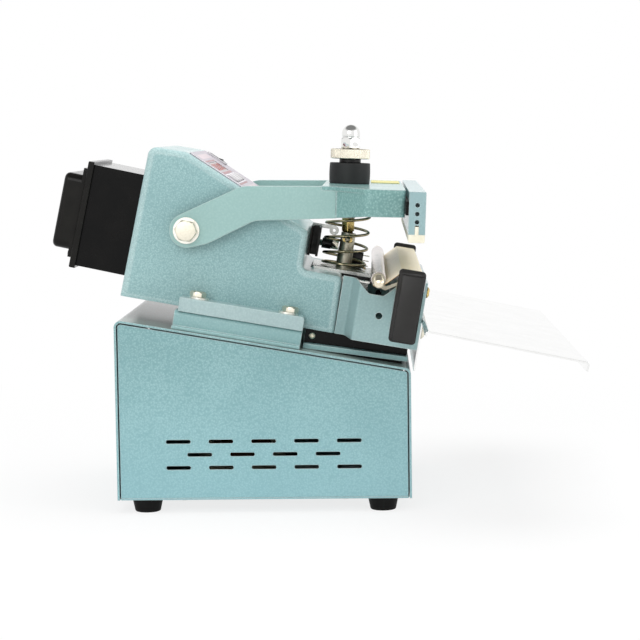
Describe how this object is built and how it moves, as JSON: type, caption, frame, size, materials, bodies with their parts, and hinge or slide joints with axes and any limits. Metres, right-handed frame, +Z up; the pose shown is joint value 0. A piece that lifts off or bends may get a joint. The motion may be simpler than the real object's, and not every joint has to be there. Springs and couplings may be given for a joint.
{
  "type": "tabletop bag sealer",
  "caption": "Tabletop impulse sealer for plastic bags: a magnet pulls a hinged press arm onto a heated jaw, over a ventilated cabinet, with a work shelf in front.",
  "frame": {"origin": "middle of the bounding box on the table, under the feet", "axes": "+X towards the user and the shelf, +Y across the machine, +Z up"},
  "size_m": [0.4792, 0.48, 0.3485],
  "materials": {
    "cabinet_shell": "hammered paint",
    "cabinet_sides": "hammered paint",
    "bottom_plate": "hammered paint",
    "rubber_feet": "matt",
    "cabinet_screws": "bright",
    "rear_sockets": "matt",
    "transformer": "dull",
    "front_plate": "hammered paint",
    "rubber_wedge": "matt",
    "support_channel": "satin black",
    "head_rails": "hammered paint",
    "head_lugs": "hammered paint",
    "rail_bolts": "zinc plated",
    "head_sides": "hammered paint",
    "head_cover": "hammered paint",
    "control_panel": "printed film",
    "display_window": "tinted",
    "push_button_1": "satin",
    "push_button_2": "satin",
    "push_button_3": "satin",
    "push_button_4": "satin",
    "control_board": "solder mask",
    "rocker_frame": "gloss",
    "rocker": "gloss",
    "rear_box": "satin black",
    "rear_lid": "satin black",
    "rear_hood": "satin black",
    "housing_screws": "bright",
    "lower_bracket": "hammered paint",
    "lower_jaw": "satin",
    "front_screws": "bright",
    "heating_band": "dull",
    "jaw_caps": "satin black",
    "ptfe_cloth": "coated glass cloth",
    "cloth_clamp": "satin",
    "cloth_roller": "ground tube",
    "roller_rod": "polished",
    "pivot_bolts": "zinc plated",
    "magnet_frame": "dull",
    "magnet_coil": "taped winding",
    "yoke_stack": "dull",
    "throat_fittings": "bright",
    "limit_switch": "matt",
    "shelf": "satin",
    "return_spring": "spring wire",
    "plunger": "turned",
    "arm_sides": "hammered paint",
    "pivot_bushes": "turned",
    "press_beam": "hammered paint",
    "label_plate": "plain film",
    "upper_jaw": "satin paint",
    "sealing_strip": "silicone",
    "jaw_spacer": "matt",
    "jaw_screws": "bright",
    "pressure_rod": "turned",
    "rubber_bush": "satin",
    "knurled_nut": "knurled",
    "acorn_nut": "polished",
    "rod_clevis": "turned"
  },
  "bodies": {
    "base": {"cabinet_shell": "cabinet_shell", "cabinet_sides": "cabinet_sides", "bottom_plate": "bottom_plate", "rubber_feet": "rubber_feet", "cabinet_screws": "cabinet_screws", "rear_sockets": "rear_sockets", "transformer": "transformer", "front_plate": "front_plate", "rubber_wedge": "rubber_wedge", "support_channel": "support_channel", "head_rails": "head_rails", "head_lugs": "head_lugs", "rail_bolts": "rail_bolts", "head_sides": "head_sides", "head_cover": "head_cover", "control_panel": "control_panel", "display_window": "display_window", "control_board": "control_board", "rocker_frame": "rocker_frame", "rear_box": "rear_box", "rear_lid": "rear_lid", "rear_hood": "rear_hood", "housing_screws": "housing_screws", "lower_bracket": "lower_bracket", "lower_jaw": "lower_jaw", "front_screws": "front_screws", "heating_band": "heating_band", "jaw_caps": "jaw_caps", "ptfe_cloth": "ptfe_cloth", "cloth_clamp": "cloth_clamp", "roller_rod": "roller_rod", "pivot_bolts": "pivot_bolts", "magnet_frame": "magnet_frame", "magnet_coil": "magnet_coil", "yoke_stack": "yoke_stack", "throat_fittings": "throat_fittings", "limit_switch": "limit_switch", "shelf": "shelf", "return_spring": "return_spring"},
    "press_arm": {"arm_sides": "arm_sides", "pivot_bushes": "pivot_bushes", "press_beam": "press_beam", "label_plate": "label_plate", "upper_jaw": "upper_jaw", "sealing_strip": "sealing_strip", "jaw_spacer": "jaw_spacer", "jaw_screws": "jaw_screws", "pressure_rod": "pressure_rod", "rubber_bush": "rubber_bush", "acorn_nut": "acorn_nut", "rod_clevis": "rod_clevis"},
    "plunger": {"plunger": "plunger"},
    "cloth_roller": {"cloth_roller": "cloth_roller"},
    "pressure_nut": {"knurled_nut": "knurled_nut"},
    "power_rocker": {"rocker": "rocker"},
    "button_1": {"push_button_1": "push_button_1"},
    "button_2": {"push_button_2": "push_button_2"},
    "button_3": {"push_button_3": "push_button_3"},
    "button_4": {"push_button_4": "push_button_4"}
  },
  "joints": [
    {"name": "arm_hinge", "type": "hinge", "parent": "base", "child": "press_arm", "pos_m": [-0.10907, 0, 0.255], "axis": [0, 1, 0], "range_deg": [0, 7.4], "stiffness_Nm_per_rad": 9, "springref_deg": -34.38, "deforming": ["return_spring"]},
    {"name": "plunger_slide", "type": "slide", "parent": "base", "child": "plunger", "axis": [-0.1736, 0, -0.9848], "range_m": [0, 0.0187]},
    {"name": "cloth_roller_turn", "type": "hinge", "parent": "base", "child": "cloth_roller", "pos_m": [0.06359, 0, 0.2149], "axis": [0, 1, 0], "continuous": true},
    {"name": "pressure_nut_turn", "type": "hinge", "parent": "press_arm", "child": "pressure_nut", "pos_m": [0.03834, 0, 0.31863], "axis": [0.0436, 0, 0.999], "continuous": true},
    {"name": "power_rocker_turn", "type": "hinge", "parent": "base", "child": "power_rocker", "pos_m": [-0.09515, 0.072, 0.3159], "axis": [0, 1, 0], "range_deg": [0, 12]},
    {"name": "button_1_press", "type": "slide", "parent": "base", "child": "button_1", "axis": [-0.5585, 0, -0.8295], "range_m": [0, 0.001], "stiffness_N_per_m": 400, "springref_m": -0.001},
    {"name": "button_2_press", "type": "slide", "parent": "base", "child": "button_2", "axis": [-0.5585, 0, -0.8295], "range_m": [0, 0.001], "stiffness_N_per_m": 400, "springref_m": -0.001},
    {"name": "button_3_press", "type": "slide", "parent": "base", "child": "button_3", "axis": [-0.5585, 0, -0.8295], "range_m": [0, 0.001], "stiffness_N_per_m": 400, "springref_m": -0.001},
    {"name": "button_4_press", "type": "slide", "parent": "base", "child": "button_4", "axis": [-0.5585, 0, -0.8295], "range_m": [0, 0.001], "stiffness_N_per_m": 400, "springref_m": -0.001}
  ],
  "couplings": [
    {"joint": "plunger_slide", "follows": "arm_hinge", "m_per_rad": 0.1447}
  ]
}
